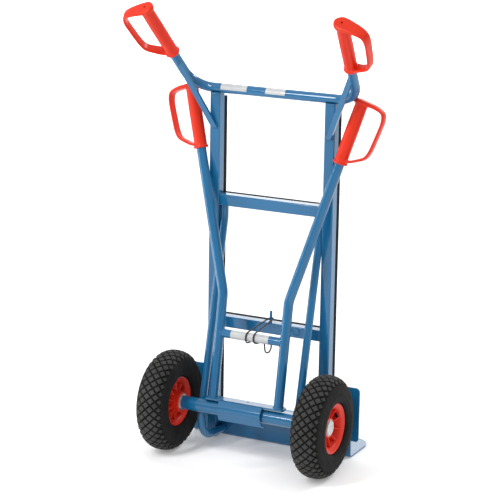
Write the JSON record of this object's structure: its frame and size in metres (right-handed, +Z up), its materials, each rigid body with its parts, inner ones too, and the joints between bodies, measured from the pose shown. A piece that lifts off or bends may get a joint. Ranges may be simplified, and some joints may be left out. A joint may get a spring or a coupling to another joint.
{
  "type": "hand truck",
  "caption": "Upright tubular hand truck with a bent toe plate, rubber-faced uprights, pneumatic wheels, and a tilting lever frame with its own pair of guarded grips.",
  "frame": {"origin": "on the floor, at the middle of the truck's footprint", "axes": "+Z up, +Y towards the load and the toe plate, +X to the right seen from behind"},
  "size_m": [0.6582, 0.423, 1.155],
  "materials": {
    "blue_paint": "glossy stove enamel over steel tube",
    "black_rubber": "matt",
    "tyre_rubber": "matt moulded rubber",
    "red_grip": "satin moulded plastic",
    "red_rim": "satin moulded plastic",
    "bright_steel": "zinc plated",
    "grey_cap": "satin",
    "white_label": "satin film, blank",
    "elastic": "matt woven cover"
  },
  "bodies": {
    "frame": {"top_handle_tube": "blue_paint", "left_stile": "blue_paint", "right_stile": "blue_paint", "upper_crossbar": "blue_paint", "middle_crossbar": "blue_paint", "lower_crossbar": "blue_paint", "left_stile_strip": "black_rubber", "right_stile_strip": "black_rubber", "upper_crossbar_strip": "black_rubber", "middle_crossbar_strip": "black_rubber", "toe_plate": "blue_paint", "left_wheel_guard": "blue_paint", "right_wheel_guard": "blue_paint", "left_side_stay": "blue_paint", "right_side_stay": "blue_paint", "left_handle_strut": "blue_paint", "right_handle_strut": "blue_paint", "upper_left_grip": "red_grip", "upper_right_grip": "red_grip", "left_handle_label": "white_label", "right_handle_label": "white_label", "hook_pin": "blue_paint", "elastic_loop": "elastic", "axle_tube": "blue_paint", "left_axle_plug": "blue_paint", "right_axle_plug": "blue_paint", "axle_shaft": "bright_steel", "left_washer": "bright_steel", "right_washer": "bright_steel", "left_hub_cap": "grey_cap", "right_hub_cap": "grey_cap"},
    "lever": {"left_lever_tube": "blue_paint", "right_lever_tube": "blue_paint", "lever_crossbar": "blue_paint", "lever_label": "white_label", "foot_bar": "blue_paint", "pivot_sleeve": "blue_paint", "pedal_plate": "blue_paint", "left_pedal_lug": "blue_paint", "right_pedal_lug": "blue_paint", "lower_left_grip": "red_grip", "lower_right_grip": "red_grip"},
    "left_wheel": {"left_tyre": "tyre_rubber", "left_inner_tube": "black_rubber", "left_rim": "red_rim", "left_inner_bearing": "bright_steel", "left_outer_bearing": "bright_steel", "left_valve": "black_rubber"},
    "right_wheel": {"right_tyre": "tyre_rubber", "right_inner_tube": "black_rubber", "right_rim": "red_rim", "right_inner_bearing": "bright_steel", "right_outer_bearing": "bright_steel", "right_valve": "black_rubber"}
  },
  "joints": [
    {"name": "lever_tilt", "type": "hinge", "parent": "frame", "child": "lever", "pos_m": [0, -0.0815, 0.13], "axis": [1, 0, 0], "range_deg": [0, 40], "deforming": ["elastic_loop"]},
    {"name": "left_wheel_spin", "type": "hinge", "parent": "frame", "child": "left_wheel", "pos_m": [-0.219, -0.0815, 0.13], "axis": [1, 0, 0], "continuous": true},
    {"name": "right_wheel_spin", "type": "hinge", "parent": "frame", "child": "right_wheel", "pos_m": [0.219, -0.0815, 0.13], "axis": [1, 0, 0], "continuous": true}
  ]
}
